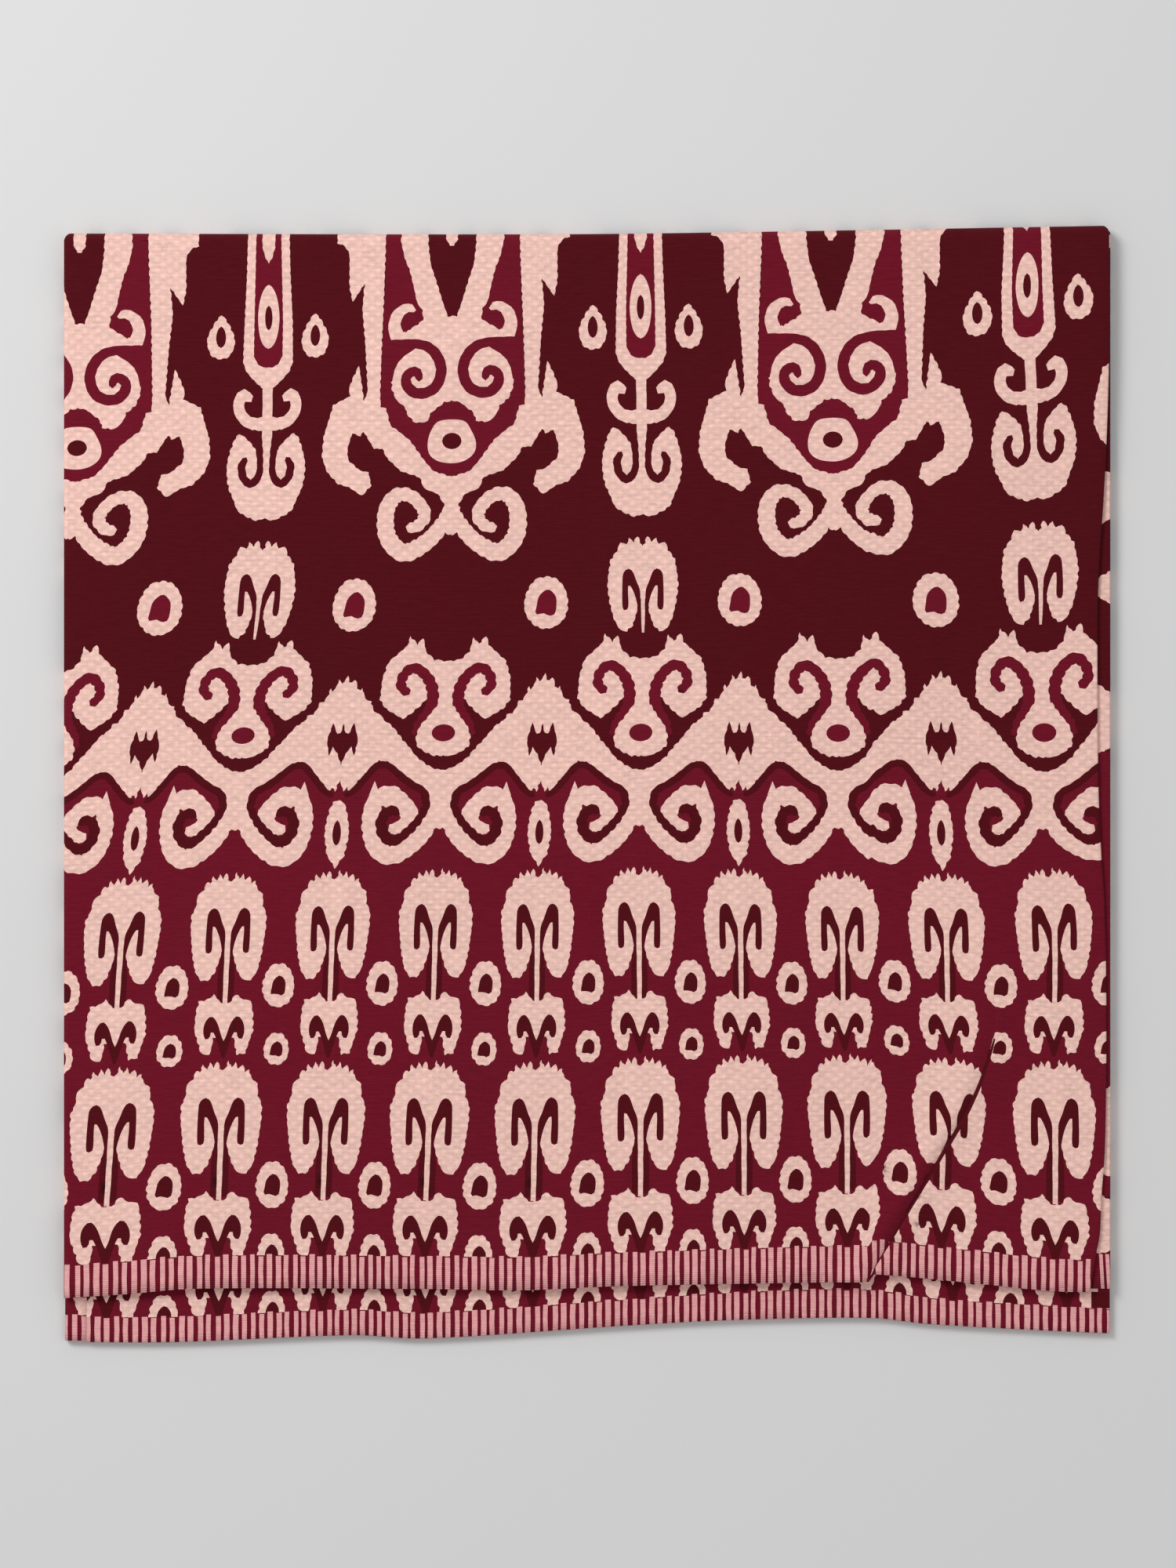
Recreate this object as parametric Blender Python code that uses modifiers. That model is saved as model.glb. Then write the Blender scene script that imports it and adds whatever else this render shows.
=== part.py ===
"""A tube sarong of figured cotton, pressed flat and folded in four.

The tube is one cloth. Laid flat it has two layers with a side fold at each end. It is folded in half
across its width, which puts both side folds at +X, and then in half down its length, which puts both
hems at -Y. The eight layers lie on a flat surface at z = 0.

Every layer is a strip of the same folded stack, so one function places them all: a point is given by
its place across the width, its place along the stack's path (front hem, top fold, rear hem) and its
depth inside the outermost face. Lengths are in metres.
"""

import math
from collections import namedtuple

import bmesh
import bpy

MM = 0.001

# Cloth and stack
WALL = 1.1 * MM
GAP = 0.3 * MM
PITCH = WALL + GAP
LAYERS_IN_HALF = 4
HALF_STACK = LAYERS_IN_HALF * PITCH - GAP / 2
STACK = 2 * HALF_STACK

# Folded outline
FOLDED_WIDTH = 579 * MM
LEFT = -FOLDED_WIDTH / 2
RIGHT = FOLDED_WIDTH / 2

# Radii of the middle of the cloth where a layer turns back
SIDE_FOLD_RADIUS = PITCH / 2
LEFT_FOLD_RADIUS = 1.5 * PITCH
CORNER_ROUNDING = 4 * MM
CORNER_DEPTH = 2.4 * MM
TIGHT_STOP = 0.47 * MM
UNDER_FOLD_INSET = 0.8 * MM

# How far a layer runs back in under its own fold before the hidden layers take over
LEFT_RETURN = 12 * MM
RIGHT_RETURN = 30 * MM
REAR_OVERLAP = 45 * MM

Station = namedtuple("Station", "at level")

# Edges of the outline, as places across the width and levels in Y
TOP_FOLD = (
    Station(-289.5, 304.6),
    Station(-21, 304.2),
    Station(91, 305.5),
    Station(286, 308.9),
)
FRONT_HEM_LEFT_OF_TUCK = (
    Station(-289.5, -284.3),
    Station(-256, -282.1),
    Station(-216, -279.0),
    Station(-95, -279.1),
    Station(-35, -279.8),
    Station(19, -277.5),
    Station(155, -275.1),
)
FRONT_HEM_RIGHT_OF_TUCK = (
    Station(158, -270.8),
    Station(176, -272.3),
    Station(216, -276.2),
    Station(255, -280.2),
    Station(289.5, -281.2),
)
REAR_HEM = (
    Station(-289.5, -309.1),
    Station(-228, -309.2),
    Station(-130, -305.4),
    Station(-90, -307.2),
    Station(20, -300.2),
    Station(79, -297.1),
    Station(157, -295.9),
    Station(189, -299.2),
    Station(255, -302.9),
    Station(289.5, -304.4),
)

# How far the front layer's side fold lies inside the right edge, as places in Y and insets
SIDE_FOLD_INSET = (
    Station(-281, 11.7),
    Station(-258, 7.8),
    Station(-249, 6.1),
    Station(-228, 5.2),
    Station(-205, 3.5),
    Station(-173, 2.7),
    Station(-105, 2.7),
    Station(-61, 3.9),
    Station(-42, 5.2),
    Station(0, 6.9),
    Station(88, 7.4),
    Station(126, 6.2),
    Station(153, 4.3),
    Station(195, 2.2),
    Station(240, 1.0),
    Station(309, 1.0),
)

# The tuck's crease, as places in Y and across the width, with its height along it
TUCK_LINE = (
    Station(-284, 149.0),
    Station(-273.9, 155.4),
    Station(-245.7, 171.9),
    Station(-208.1, 193.6),
    Station(-177.8, 210.9),
    Station(-150.0, 222.1),
    Station(-128.4, 226.0),
    Station(-60, 216.0),
    Station(309, 206.0),
)
TUCK_HEIGHT = (
    Station(-284, 2.6),
    Station(-240, 2.8),
    Station(-190, 2.4),
    Station(-150, 1.4),
    Station(-122, 0.5),
    Station(-95, 0.0),
    Station(309, 0.0),
)
# The tuck's section, as places across from the crease and shares of its height
TUCK_SECTION = (
    Station(-27, 0.0),
    Station(-20, 0.3),
    Station(-14, 0.8),
    Station(-11, 1.0),
    Station(-8, 0.92),
    Station(-4, 0.5),
    Station(-1.5, 0.1),
    Station(-0.5, 0.05),
    Station(0.5, 0.5),
    Station(1.5, 0.62),
    Station(4, 0.5),
    Station(9, 0.25),
    Station(16, 0.0),
)

# The front layer's slow waves
WAVE_HEIGHT = 0.45 * MM
WAVE_ACROSS = 190 * MM
WAVE_ALONG = 260 * MM
WAVE_FADE = 45 * MM

# Counts of steps in each stretch of a grid
TOP_FOLD_STEPS = 5
LEFT_FOLD_STEPS = 7
SIDE_FOLD_STEPS = 5
COLUMNS_LEFT_OF_TUCK = 15
COLUMNS_RIGHT_OF_TUCK = 5
FRONT_ROWS = 26
PLAIN_ROWS = 9
PLAIN_COLUMNS = 12
STRIP_ROWS = 5
STRIP_COLUMNS = 28
HEM_STEPS_LEFT_OF_TUCK = 22
HEM_STEPS_RIGHT_OF_TUCK = 8
TOP_STEPS = 16
SIDE_STEPS = 4

# The hidden layers' hems, each a little inside the hem that covers it
FRONT_HEM_INSETS = (0.9 * MM, 1.8 * MM, 1.2 * MM)
REAR_HEM_INSETS = (0.7 * MM, 1.6 * MM)
EDGE_ROUNDING = 0.25 * MM
GROOVE_INSET = 2.7 * MM
TUCK_STEP = 3 * MM


def mix(a, b, share):
    return a + (b - a) * share


def spread(start, end, steps):
    """Even places from start to end, both included."""
    return [mix(start, end, i / steps) for i in range(steps + 1)]


def level(table, at):
    """Reads a table of stations in millimetres at a place in metres, on a smooth curve."""
    at = at / MM
    if at <= table[0].at:
        return table[0].level * MM
    if at >= table[-1].at:
        return table[-1].level * MM
    k = next(i for i in range(1, len(table)) if at <= table[i].at)
    a, b = table[k - 1], table[k]
    before = table[max(k - 2, 0)]
    after = table[min(k + 1, len(table) - 1)]
    span = b.at - a.at
    slope_a = (b.level - before.level) / (b.at - before.at)
    slope_b = (after.level - a.level) / (after.at - a.at)
    t = (at - a.at) / span
    return MM * (
        (2 * t**3 - 3 * t**2 + 1) * a.level
        + (t**3 - 2 * t**2 + t) * span * slope_a
        + (3 * t**2 - 2 * t**3) * b.level
        + (t**3 - t**2) * span * slope_b
    )


def front_hem(across):
    """The front hem's level, with the step at the tuck."""
    left = level(FRONT_HEM_LEFT_OF_TUCK, across)
    right = level(FRONT_HEM_RIGHT_OF_TUCK, across)
    start = FRONT_HEM_LEFT_OF_TUCK[-1].at * MM
    end = FRONT_HEM_RIGHT_OF_TUCK[0].at * MM
    share = min(max((across - start) / (end - start), 0.0), 1.0)
    return mix(left, right, share)


def rear_hem(across):
    return level(REAR_HEM, across)


def strip_top(across):
    """Where the rear layer's strip starts, well under the front layer."""
    return level(FRONT_HEM_LEFT_OF_TUCK, across) + REAR_OVERLAP


def fold_line(across):
    """Where the flat layers end and the top fold's half circle starts."""
    return level(TOP_FOLD, across) - HALF_STACK


def place(across, along, depth, hem_inset=0.0):
    """A point of the folded stack.

    along is -1 at the front hem, 0 and 1 at the start and end of the top fold, and 2 at the rear hem.
    """
    start = fold_line(across)
    if along <= 0:
        hem = front_hem(across) + hem_inset
        return across, mix(start, hem, -along), STACK - depth
    if along < 1:
        radius = HALF_STACK - depth
        angle = math.pi * along
        return across, start + radius * math.sin(angle), HALF_STACK + radius * math.cos(angle)
    hem = rear_hem(across) + hem_inset
    return across, mix(start, hem, along - 1), depth


def apex_along(depth, side):
    """Where a layer of the top fold stops, half a gap from the level of the fold's apex.

    The return under the left fold turns so tightly that it stops sooner.
    """
    radius = HALF_STACK - depth
    tightness = max(0.0, depth - depth_of(1.5)) / (depth_of(3) - depth_of(1.5))
    short = GAP / 2 + tightness * TIGHT_STOP
    return 0.5 - side * math.asin(short / radius) / math.pi


def corner_inset(across, y):
    """How far the outline's top corners are rounded off at this level."""
    short = max(0.0, 1 - (level(TOP_FOLD, across) - y) / CORNER_ROUNDING)
    return CORNER_DEPTH * short**2


def side_fold_edge(y):
    """The outermost place of the front layer's side fold."""
    return RIGHT - level(SIDE_FOLD_INSET, y) - corner_inset(RIGHT, y)


def left_edge(y):
    return LEFT + 0.5 * corner_inset(LEFT, y)


def lift(across, y):
    """How far the front layer stands above its flat place: the tuck and slow waves."""
    crease = level(TUCK_LINE, y)
    tuck = level(TUCK_HEIGHT, y) * level(TUCK_SECTION, across - crease) / MM
    to_edge = min(across - LEFT, RIGHT - across, level(TOP_FOLD, across) - y)
    fade = min(max(to_edge / WAVE_FADE, 0.0), 1.0)
    wave = math.sin(across / WAVE_ACROSS * 2 * math.pi + 0.6)
    wave += math.sin(y / WAVE_ALONG * 2 * math.pi + 1.9 + across / WAVE_ACROSS)
    return tuck + WAVE_HEIGHT * fade * (1 + wave / 2) / 2


def depth_of(layer):
    """Depth of the middle of a layer's wall, with layer 0 outermost."""
    return WALL / 2 + layer * PITCH


def left_fold(edge, inner_end):
    """Section of the outermost layer where it turns round the left fold, from inside to the top face."""
    centre = edge + LEFT_FOLD_RADIUS + WALL / 2
    middle = depth_of(1.5)
    turn = [(inner_end, depth_of(3))]
    for angle in spread(math.pi / 2, -math.pi / 2, LEFT_FOLD_STEPS):
        turn.append(
            (
                centre - LEFT_FOLD_RADIUS * math.cos(angle),
                middle + LEFT_FOLD_RADIUS * math.sin(angle),
            )
        )
    return turn


def side_fold(edge, layer, inner_end):
    """Section of a side fold from a layer's face round to the next layer, then back inside."""
    centre = edge - SIDE_FOLD_RADIUS - WALL / 2
    middle = depth_of(layer + 0.5)
    turn = []
    for angle in spread(-math.pi / 2, math.pi / 2, SIDE_FOLD_STEPS):
        turn.append(
            (
                centre + SIDE_FOLD_RADIUS * math.cos(angle),
                middle + SIDE_FOLD_RADIUS * math.sin(angle),
            )
        )
    turn.append((inner_end, depth_of(layer + 1)))
    return turn


def front_columns(y):
    """Section of the front layer at one level: left fold, face with columns along the tuck, side fold."""
    face = depth_of(0)
    crease = level(TUCK_LINE, y)
    left_turn = left_fold(left_edge(y), LEFT + LEFT_RETURN)
    right_turn = side_fold(side_fold_edge(y), 0, RIGHT - RIGHT_RETURN)
    tuck = [(crease + s.at * MM, face) for s in TUCK_SECTION]
    left_face = spread(left_turn[-1][0], tuck[0][0], COLUMNS_LEFT_OF_TUCK)[1:-1]
    right_face = spread(tuck[-1][0], right_turn[0][0], COLUMNS_RIGHT_OF_TUCK)[1:-1]
    return (
        left_turn
        + [(x, face) for x in left_face]
        + tuck
        + [(x, face) for x in right_face]
        + right_turn
    )


def material(name, colour, roughness):
    made = bpy.data.materials.new(name)
    made.use_nodes = True
    shader = made.node_tree.nodes["Principled BSDF"]
    shader.inputs["Base Color"].default_value = (*colour, 1.0)
    shader.inputs["Roughness"].default_value = roughness
    return made


def finish(bm, name, collection, cloth):
    mesh = bpy.data.meshes.new(name)
    bm.to_mesh(mesh)
    bm.free()
    piece = bpy.data.objects.new(name, mesh)
    collection.objects.link(piece)
    mesh.materials.append(cloth)
    mesh.shade_smooth()
    return piece


def cloth_sheet(name, rows, collection, cloth):
    """A wall of cloth from rows of points: a grid moved onto them, then given its thickness."""
    steps_along = len(rows) - 1
    steps_across = len(rows[0]) - 1
    bm = bmesh.new()
    bmesh.ops.create_grid(bm, x_segments=steps_across, y_segments=steps_along, size=0.5)
    for vertex in bm.verts:
        i = round((vertex.co.x + 0.5) * steps_across)
        j = round((vertex.co.y + 0.5) * steps_along)
        vertex.co = rows[j][i]
    sheet = finish(bm, name, collection, cloth)
    wall = sheet.modifiers.new("wall", "SOLIDIFY")
    wall.thickness = WALL
    wall.offset = 0
    wall.use_even_offset = False
    sheet.data.set_sharp_from_angle(angle=math.radians(50))
    return sheet


def front_layer(collection, cloth):
    """The top layer, from its hem over the first half of the top fold."""
    rows = []
    for along in spread(-1, 0, FRONT_ROWS):
        row = []
        nominal_y = mix(fold_line(0), front_hem(0), -along)
        for across, depth in front_columns(nominal_y):
            x, y, z = place(across, along, depth)
            if depth <= depth_of(0):
                z += lift(x, y)
            row.append((x, y, z))
        rows.append(row)
    for share in spread(0, 1, TOP_FOLD_STEPS)[1:]:
        apex_y = fold_line(0) + HALF_STACK * math.sin(math.pi / 2 * share)
        row = []
        for across, depth in front_columns(apex_y):
            row.append(place(across, share * apex_along(depth, 1), depth))
        rows.append(row)
    return cloth_sheet("front_layer", rows, collection, cloth)


def under_layer(collection, cloth):
    """The layer on the surface, from the second half of the top fold to the rear hem."""
    edge = RIGHT - UNDER_FOLD_INSET
    face = depth_of(0)

    def columns(y):
        left_turn = left_fold(left_edge(y), LEFT + LEFT_RETURN)
        right_turn = side_fold(edge - corner_inset(RIGHT, y), 0, RIGHT - RIGHT_RETURN)
        face_places = spread(left_turn[-1][0], right_turn[0][0], PLAIN_COLUMNS)[1:-1]
        return left_turn + [(x, face) for x in face_places] + right_turn

    rows = []
    for share in spread(1, 0, TOP_FOLD_STEPS)[:-1]:
        apex_y = fold_line(0) + HALF_STACK * math.sin(math.pi / 2 * share)
        row = []
        for across, depth in columns(apex_y):
            row.append(place(across, mix(1, apex_along(depth, -1), share), depth))
        rows.append(row)
    for along in spread(1, 2, PLAIN_ROWS):
        y = mix(fold_line(0), rear_hem(0), along - 1)
        rows.append([place(across, along, depth, REAR_HEM_INSETS[0]) for across, depth in columns(y)])
    return cloth_sheet("under_layer", rows, collection, cloth)


def second_fold(collection, cloth):
    """The tube's other side fold, down the right margin, over the top fold and on to the rear strip."""
    inner = RIGHT - RIGHT_RETURN

    def columns(y):
        turn = side_fold(RIGHT - corner_inset(RIGHT, y), 2, inner)
        return [(inner, depth_of(2))] + turn

    rows = []
    for along in spread(-1, 0, PLAIN_ROWS):
        row_columns = columns(mix(fold_line(RIGHT), front_hem(RIGHT), -along))
        rows.append([place(across, along, depth, FRONT_HEM_INSETS[1]) for across, depth in row_columns])
    for along in spread(0, 1, 2 * TOP_FOLD_STEPS)[1:]:
        y = fold_line(RIGHT) + HALF_STACK * math.sin(math.pi * along)
        rows.append([place(across, along, depth) for across, depth in columns(y)])
    for share in spread(0, 1, PLAIN_ROWS)[1:]:
        row = []
        for across, depth in columns(0):
            row.append((across, mix(fold_line(across), strip_top(across) + GAP, share), depth))
        rows.append(row)
    return cloth_sheet("second_fold", rows, collection, cloth)


def rear_hem_layer(collection, cloth):
    """The layer that shows between the hems, from under the front layer down to the rear hem."""
    face = depth_of(3)
    start = LEFT + LEFT_RETURN + GAP
    turn = side_fold(RIGHT, 2, RIGHT - RIGHT_RETURN)
    turn = [(across, depth_of(3) + depth_of(2) - depth) for across, depth in turn]
    columns = [(x, face) for x in spread(start, turn[0][0], STRIP_COLUMNS)[:-1]] + turn
    rows = []
    for share in spread(0, 1, STRIP_ROWS):
        row = []
        for across, depth in columns:
            row.append((across, mix(strip_top(across), rear_hem(across), share), depth))
        rows.append(row)
    return cloth_sheet("rear_hem_layer", rows, collection, cloth)


Rim = namedtuple("Rim", "height left bottom inset")


def inner_rims():
    """Outlines of the hidden layers from the lowest to the highest, as rules for their four sides."""
    rims = []
    round_left = PITCH / 2 + WALL / 2
    round_centre = LEFT + PITCH + round_left
    behind_return = LEFT + LEFT_RETURN + GAP

    def left_of(depth):
        """The left fold of the second and third layers, a half circle inside the outermost one."""
        off = min(abs(depth - depth_of(1.5)), round_left)
        return round_centre - math.sqrt(round_left**2 - off**2)

    def add_layer(layer, upper):
        low = layer * PITCH
        faces = ((low, EDGE_ROUNDING), (low + WALL / 2, 0.0), (low + WALL, EDGE_ROUNDING))
        for depth, rounding in reversed(faces) if upper else faces:
            height = STACK - depth if upper else depth
            left = left_of(depth) if layer < 3 else behind_return
            hem, insets = (front_hem, FRONT_HEM_INSETS) if upper else (rear_hem, REAR_HEM_INSETS)
            rims.append(Rim(height, left, hem, insets[layer - 1] + rounding))

    def add_groove(layer, upper):
        depth = layer * PITCH - GAP / 2
        height = STACK - depth if upper else depth
        left = left_of(depth) if layer < 3 else behind_return
        rims.append(Rim(height, left, front_hem if upper else rear_hem, GROOVE_INSET))

    add_layer(1, False)
    add_groove(2, False)
    add_layer(2, False)
    for side in (-1, 1):
        rims.append(Rim(depth_of(3) + side * PITCH / 2, behind_return, strip_top, GAP))
    add_layer(3, True)
    add_groove(3, True)
    add_layer(2, True)
    add_groove(2, True)
    add_layer(1, True)
    return rims


def inner_outline(rim):
    """One closed outline of the hidden layers, anticlockwise from its lower left corner."""
    right = RIGHT - RIGHT_RETURN - GAP
    level_off = abs(rim.height - HALF_STACK)
    turn = HALF_STACK - PITCH - GAP / 2
    reach = math.sqrt(max(turn**2 - level_off**2, 0.0))
    tuck_left = FRONT_HEM_LEFT_OF_TUCK[-1].at * MM
    hem_places = spread(rim.left, tuck_left, HEM_STEPS_LEFT_OF_TUCK)
    hem_places += spread(tuck_left + TUCK_STEP, right, HEM_STEPS_RIGHT_OF_TUCK)
    top_places = spread(right, rim.left + CORNER_ROUNDING / 2, TOP_STEPS)
    outline = [(x, rim.bottom(x) + rim.inset) for x in hem_places]
    right_low = outline[-1][1]
    right_high = fold_line(right) + reach
    outline += [(right, y) for y in spread(right_low, right_high, SIDE_STEPS)[1:-1]]
    outline += [(x, fold_line(x) + reach) for x in top_places]
    left_low = outline[0][1]
    left_high = outline[-1][1] - CORNER_ROUNDING
    outline += [(rim.left, y) for y in spread(left_high, left_low, SIDE_STEPS)[:-1]]
    return [(x, y, rim.height) for x, y in outline]


def inner_layers(collection, cloth):
    """The hidden layers as one solid: the lowest outline as a face, extruded up to each next outline."""
    outlines = [inner_outline(rim) for rim in inner_rims()]
    bm = bmesh.new()
    ring = [bm.verts.new(point) for point in outlines[0]]
    top = base = bm.faces.new(ring)
    for outline in outlines[1:]:
        grown = bmesh.ops.extrude_face_region(bm, geom=[top])["geom"]
        if top is not base and top.is_valid:
            bmesh.ops.delete(bm, geom=[top], context="FACES_ONLY")
        top = next(item for item in grown if isinstance(item, bmesh.types.BMFace))
        for vertex, point in zip(top.verts, outline):
            vertex.co = point
    bmesh.ops.recalc_face_normals(bm, faces=bm.faces)
    return finish(bm, "inner_layers", collection, cloth)


def build():
    for old in list(bpy.data.objects):
        bpy.data.objects.remove(old, do_unlink=True)
    collection = bpy.data.collections.new("folded_sarong")
    bpy.context.scene.collection.children.link(collection)
    front_layer(collection, material("maroon_and_pink_cotton", (0.28, 0.09, 0.10), 0.85))
    second_fold(collection, material("maroon_cotton", (0.10, 0.005, 0.010), 0.85))
    rear_hem_layer(collection, material("crimson_and_pink_cotton", (0.36, 0.10, 0.12), 0.85))
    under_layer(collection, material("crimson_cotton", (0.20, 0.008, 0.022), 0.85))
    inner_layers(collection, material("pink_cotton", (0.72, 0.44, 0.40), 0.85))


build()
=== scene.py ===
"""A folded tube sarong of figured cotton, lying flat: its cloth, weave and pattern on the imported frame."""

import math

import bpy
import numpy as np
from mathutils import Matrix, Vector
from mathutils.geometry import delaunay_2d_cdt


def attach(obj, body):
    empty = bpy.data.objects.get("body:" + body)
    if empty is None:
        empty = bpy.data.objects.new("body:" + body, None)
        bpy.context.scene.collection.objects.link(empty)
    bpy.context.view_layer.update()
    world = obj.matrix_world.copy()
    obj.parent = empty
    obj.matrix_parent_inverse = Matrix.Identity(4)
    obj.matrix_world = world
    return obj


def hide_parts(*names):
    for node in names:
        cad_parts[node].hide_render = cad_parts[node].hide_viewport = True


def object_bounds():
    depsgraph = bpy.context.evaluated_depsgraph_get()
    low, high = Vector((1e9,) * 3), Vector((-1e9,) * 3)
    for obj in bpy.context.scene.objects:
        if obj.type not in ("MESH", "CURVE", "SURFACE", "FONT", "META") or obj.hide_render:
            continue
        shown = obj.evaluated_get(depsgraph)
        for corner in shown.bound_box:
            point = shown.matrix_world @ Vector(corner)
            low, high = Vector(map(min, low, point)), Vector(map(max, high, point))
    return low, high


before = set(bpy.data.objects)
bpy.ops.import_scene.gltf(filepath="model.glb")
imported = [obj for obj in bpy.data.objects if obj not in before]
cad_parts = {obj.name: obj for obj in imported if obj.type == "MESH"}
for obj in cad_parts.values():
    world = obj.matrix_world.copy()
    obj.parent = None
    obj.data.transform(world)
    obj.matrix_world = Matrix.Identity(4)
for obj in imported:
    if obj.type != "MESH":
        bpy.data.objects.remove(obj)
cad_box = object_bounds()


# Front cloth
# The layer that shows: one cloth, pressed flat, from its hem up to the top fold, turned in at each side.
# Figured cotton, its pattern dyed in the yarn, woven in a pink, a maroon and a crimson with a striped edge.
# A tuck is pressed into it near the lower right corner.

MM = 0.001
WALL = 1.1 * MM
PITCH = 1.4 * MM
HALF_STACK = 5.45 * MM
LEFT = cad_box[0].x
RIGHT = cad_box[1].x
LEFT_FOLD_RADIUS = 1.5 * PITCH
SIDE_FOLD_RADIUS = PITCH / 2
LEFT_RETURN = 11 * MM
RIGHT_RETURN = 21 * MM
CORNER_ROUNDING = 4 * MM
CORNER_DEPTH = 2.4 * MM
SHOWN_WALL = 0.95 * MM

# Edges of the folded outline, as places across the width and levels in Y, in millimetres
TOP_FOLD = (
    (-289.5, 304.6), (-21, 304.2), (91, 305.5), (286, 308.9),
)
FRONT_HEM_LEFT_OF_TUCK = (
    (-289.5, -284.3), (-256, -282.1), (-216, -279.0), (-95, -279.1), (-35, -279.8), (19, -277.5),
    (155, -275.1),
)
FRONT_HEM_RIGHT_OF_TUCK = (
    (158, -270.8), (176, -272.3), (216, -276.2), (255, -280.2), (289.5, -281.2),
)
# How far the front cloth's side fold lies inside the right edge, as places in Y and insets
SIDE_FOLD_INSET = (
    (-281, 11.7), (-258, 7.8), (-249, 6.1), (-228, 5.2), (-205, 3.5), (-173, 2.7), (-105, 2.7),
    (-61, 3.9), (-42, 5.2), (0, 6.9), (88, 7.4), (126, 6.2), (153, 4.3), (195, 2.2), (240, 1.0),
    (309, 1.0),
)
# The tuck's crease, as places in Y and across the width, with its height and the cloth it hides along it
TUCK_LINE = (
    (-284, 149.0), (-273.9, 155.4), (-245.7, 171.9), (-208.1, 193.6), (-177.8, 210.9),
    (-150.0, 222.1), (-128.4, 226.0), (-60, 216.0), (309, 206.0),
)
TUCK_HEIGHT = (
    (-284, 2.6), (-240, 2.8), (-190, 2.4), (-150, 1.4), (-122, 0.5), (-95, 0.0), (309, 0.0),
)
TUCK_HIDES = (
    (-284, 7.2), (-208, 6.2), (-165, 4.6), (-128, 0.8), (-95, 0.0), (309, 0.0),
)
# The tuck's section, as places across from the crease and shares of its height
TUCK_SECTION = (
    (-27, 0.0), (-20, 0.25), (-14, 0.65), (-9, 1.0), (-6.5, 0.95), (-3, 0.45), (-1.2, 0.1),
    (-0.3, 0.05), (0.3, 0.5), (1.5, 0.62), (4, 0.5), (9, 0.25), (16, 0.0),
)
TUCK_FLANK = (-0.3 * MM, 0.3 * MM)
TUCK_MIDDLE = 0.165
# Lines of points that the tuck needs, from this far down: off its crease, then as shares of its flank and
# places past it, all in millimetres
TUCK_LINES_START = 425
TUCK_LINES_BEFORE = (-27, -20, -17, -14, -11, -8, -6, -4, -2.5, -1.2)
TUCK_LINES_AFTER = ((0, 0), (0.25, 0), (0.5, 0), (0.75, 0), (1, 0), (1, 1.2), (1, 3.7), (1, 8.7), (1, 15.7))

# The chart of the pattern counts in steps across and down from the top fold
STEP = 0.433 * MM
CHART_ROWS = 1346
REPEAT = 482
COLUMN_AXIS = 29.4 * MM
# How far the pattern runs off a square grid, in steps across and down, as measured against the photo: the
# loom's rows and the pressed cloth both lean. Each line is a row of the chart, with a place a repeat.
REPEATS = (-1.5, -1, -0.5, 0, 0.5, 0.75, 1, 1.25)
OFF_ACROSS = {
    100: (8, 8, 1, 0, 2, 5, 11, 18),
    310: (2, 4, 0, 2, 5, 11, 20, 30),
    460: (-16, -4, -2, 3, 9, 14, 28, 40),
    561: (-21, -17, -6, 3, 12, 21, 28, 40),
    650: (-34, -26, -11, 0, 11, 22, 33, 45),
    764: (-48, -36, -16, -2, 11, 22, 31, 45),
    870: (-73, -43, -20, -2, 16, 28, 45, 60),
    1000: (-86, -49, -24, -1, 18, 31, 48, 63),
    1110: (-92, -52, -28, 0, 22, 37, 59, 74),
    1260: (-107, -57, -34, 0, 23, 38, 63, 80),
}
OFF_DOWN = {
    120: (12, 13, 2, 0, 0, -3, -20, -42),
    265: (8, 6, 0, -1, 4, -3, -20, -38),
    365: (5, 2, 2, -2, 2, -1, -18, -33),
    490: (6, 5, -1, -2, 1, 5, -11, -21),
    561: (12, 7, 1, 0, 5, 6, -3, -11),
    668: (12, 2, -2, 1, 6, 8, 4, -1),
    764: (10, 6, 3, 2, 10, 13, 7, 4),
    810: (8, 7, 1, 1, 11, 16, 3, -7),
    965: (6, 6, 1, 3, 10, 14, 5, 0),
    1053: (7, 4, 3, 1, 2, 8, 2, -1),
    1226: (0, 0, 0, -1, 0, -3, 3, 6),
    1303: (3, 1, 1, 0, -3, 1, 2, 5),
}


def smooth(stops, levels, at):
    """Reads levels at stops, on a smooth curve. Levels may have a column for each place."""
    stops = np.array(stops, float)
    levels = np.array(levels, float).reshape(len(stops), -1)
    slopes = np.gradient(levels, stops, axis=0)
    slopes[1:-1] = (levels[2:] - levels[:-2]) / (stops[2:] - stops[:-2])[:, None]
    at = np.clip(np.asarray(at, float), stops[0], stops[-1])
    k = np.clip(np.searchsorted(stops, at) - 1, 0, len(stops) - 2)
    column = np.arange(levels.shape[1]) if levels.shape[1] > 1 else 0
    span = stops[k + 1] - stops[k]
    t = (at - stops[k]) / span
    return (
        (2 * t**3 - 3 * t**2 + 1) * levels[k, column]
        + (t**3 - 2 * t**2 + t) * span * slopes[k, column]
        + (3 * t**2 - 2 * t**3) * levels[k + 1, column]
        + (t**3 - t**2) * span * slopes[k + 1, column]
    )


def level(table, at):
    """Reads a table of places and their levels."""
    return smooth(*zip(*table), at)


def level_mm(table, at):
    """The same for a table in millimetres, read and given in metres."""
    return level(table, at / MM) * MM


# Motifs of the chart. Each is a list of patches: a yarn and a closed outline in steps, about the motif's
# axis. Places along an outline are three to a scallop, and wider apart on smooth and on straight shapes.

PINK, MAROON, CRIMSON, STRIPE_PINK = range(4)
TOOTH_PITCH = 11 / 3
TOOTH_DEPTH = 0.9
SMOOTH_PITCH = 4.4
STRAIGHT_PITCH = 12
CREST = -40


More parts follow.
